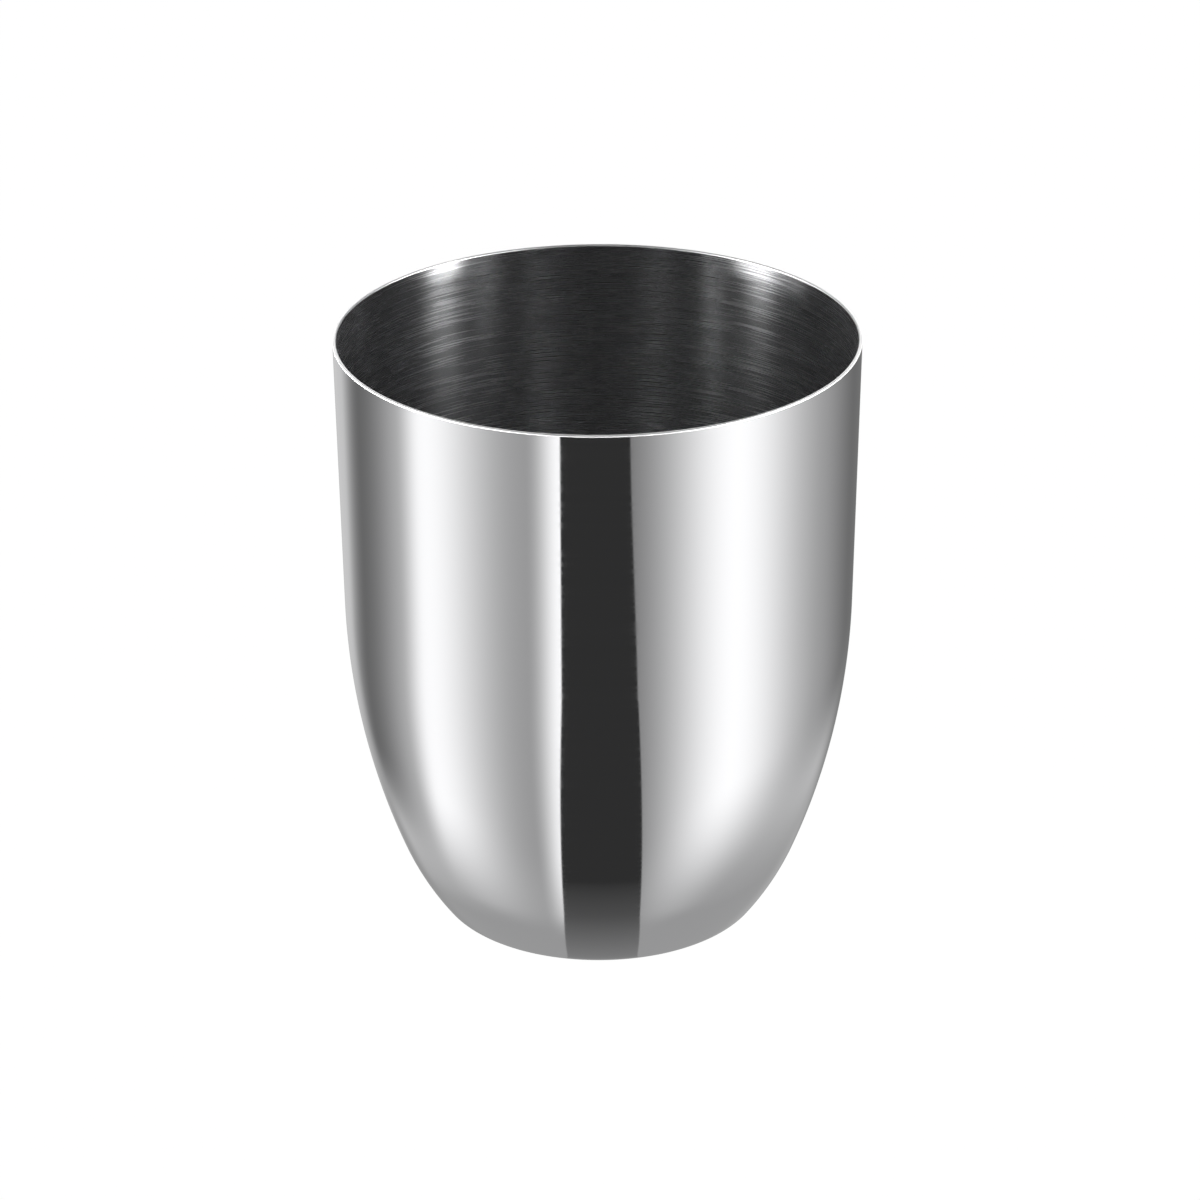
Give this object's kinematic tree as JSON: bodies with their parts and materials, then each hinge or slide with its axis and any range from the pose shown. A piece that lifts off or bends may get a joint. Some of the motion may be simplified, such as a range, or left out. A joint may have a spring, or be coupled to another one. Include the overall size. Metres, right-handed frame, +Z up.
{
  "type": "deep drawn metal cup",
  "caption": "Open stainless steel cup drawn from one sheet: near-straight upper wall, belly curving in to a small flat base, plain rounded lip, mirror outside, brushed inside.",
  "frame": {"origin": "middle of the base, in the plane that the cup stands on", "axes": "+Z up the cup's axis towards the mouth; the cup is round about Z, so X and Y may point any way"},
  "size_m": [0.075, 0.075, 0.0885],
  "materials": {
    "stainless_steel": null
  },
  "bodies": {
    "root": {"cup": "stainless_steel"}
  },
  "joints": []
}
